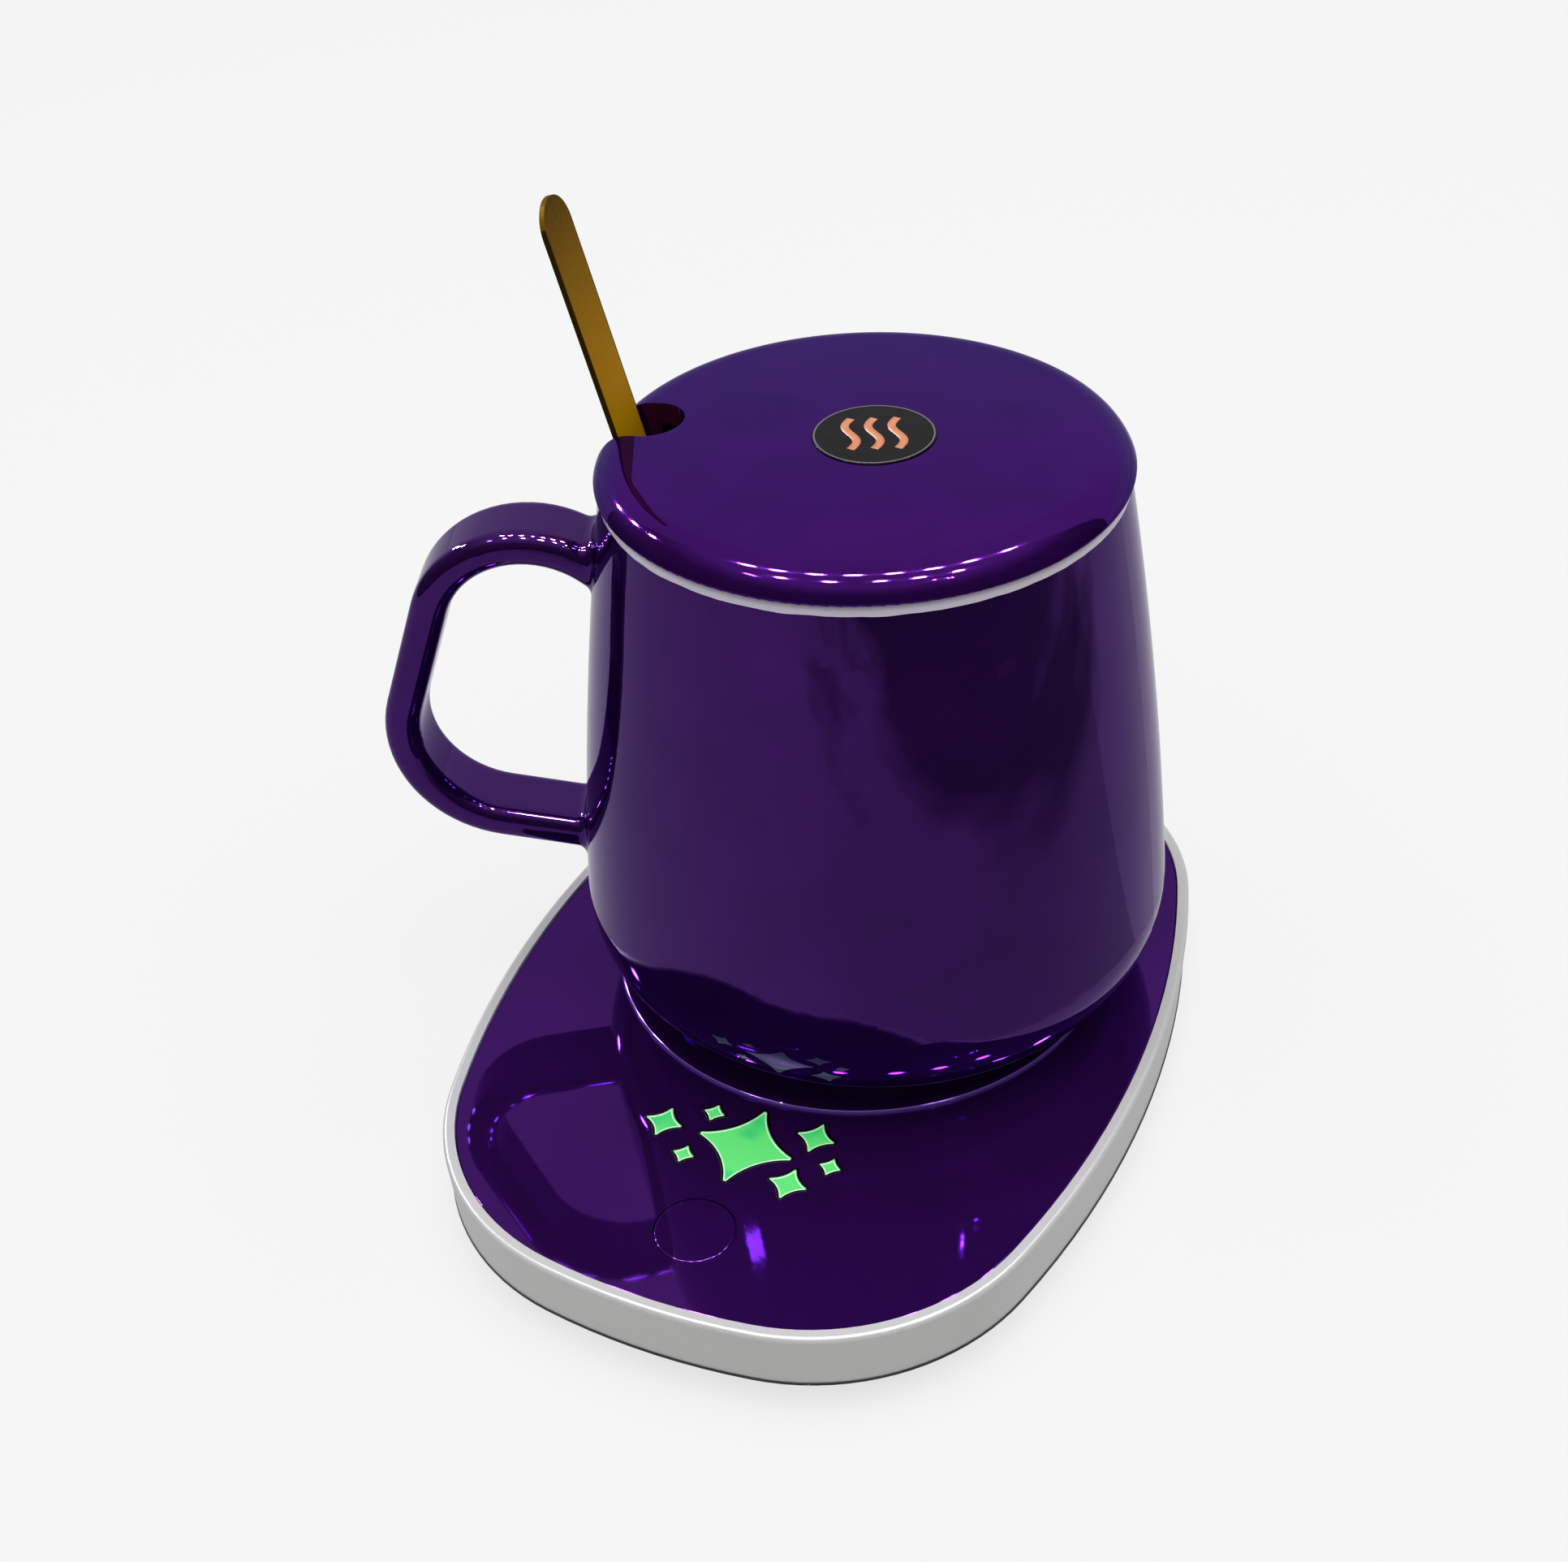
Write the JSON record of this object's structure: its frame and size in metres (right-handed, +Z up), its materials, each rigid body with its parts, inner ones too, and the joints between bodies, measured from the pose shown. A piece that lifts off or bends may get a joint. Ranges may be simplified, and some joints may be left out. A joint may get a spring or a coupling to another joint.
{
  "type": "mug with warmer",
  "caption": "Electric mug warmer with a raised round heating plate, lit star windows and a push button, carrying a lidded glazed mug with a looped handle and a flat spoon.",
  "frame": {"origin": "on the surface the warmer stands on, below the middle of the heating plate", "axes": "+Z up; -Y towards the warmer's front end with the button; +X to the right seen from the front"},
  "size_m": [0.1294, 0.1517, 0.149],
  "materials": {
    "white_plastic": "satin white moulding",
    "grey_rubber": "matt grey",
    "screw_steel": "plated",
    "purple_plastic": "high gloss purple",
    "purple_coating": "gloss purple coating",
    "heater_film": "amber film",
    "felt": "needled felt",
    "pan_aluminium": "pressed sheet",
    "black_resin": "moulded resin",
    "green_lens": "clear green light guide",
    "black_plastic": "fine texture",
    "lamp_plastic": "clear lamp body",
    "board_laminate": "green laminate",
    "wire_rubber": "insulated wire",
    "purple_glaze": "high gloss purple glaze, white inside",
    "badge_plastic": "gloss black with a plain motif",
    "gilt_metal": "gilt"
  },
  "bodies": {
    "warmer": {"upper_housing": "white_plastic", "base_tray": "white_plastic", "foot_ring": "grey_rubber", "housing_screws": "screw_steel", "top_panel": "purple_plastic", "heating_plate": "purple_coating", "film_heater": "heater_film", "insulation_pad": "felt", "heater_pan": "pan_aluminium", "pan_screws": "screw_steel", "temperature_sensor": "black_resin", "thermal_fuse": "screw_steel", "star_lens": "green_lens", "light_box": "black_plastic", "led_lights": "lamp_plastic", "circuit_board": "board_laminate", "board_screws": "screw_steel", "control_chip": "black_resin", "power_transistor": "black_resin", "smoothing_capacitor": "pan_aluminium", "tact_switch": "black_plastic", "power_inlet": "black_plastic", "heater_leads": "wire_rubber", "power_leads": "wire_rubber"},
    "button": {"button_cap": "purple_plastic", "switch_plunger": "black_plastic"},
    "mug": {"mug_body": "purple_glaze"},
    "lid": {"lid": "purple_glaze", "lid_badge": "badge_plastic"},
    "spoon": {"spoon": "gilt_metal"}
  },
  "joints": [
    {"name": "button_press", "type": "slide", "parent": "warmer", "child": "button", "axis": [0, 0, -1], "range_m": [0, 0.0006], "stiffness_N_per_m": 1000, "springref_m": -0.0005},
    {"name": "mug_lift", "type": "slide", "parent": "warmer", "child": "mug", "axis": [0, 0, 1], "range_m": [0, 0.04]},
    {"name": "lid_lift", "type": "slide", "parent": "mug", "child": "lid", "axis": [0, 0, 1], "range_m": [0, 0.03]},
    {"name": "spoon_slide", "type": "slide", "parent": "mug", "child": "spoon", "axis": [-0.2309, -0.0345, 0.9724], "range_m": [0, 0.034]}
  ]
}
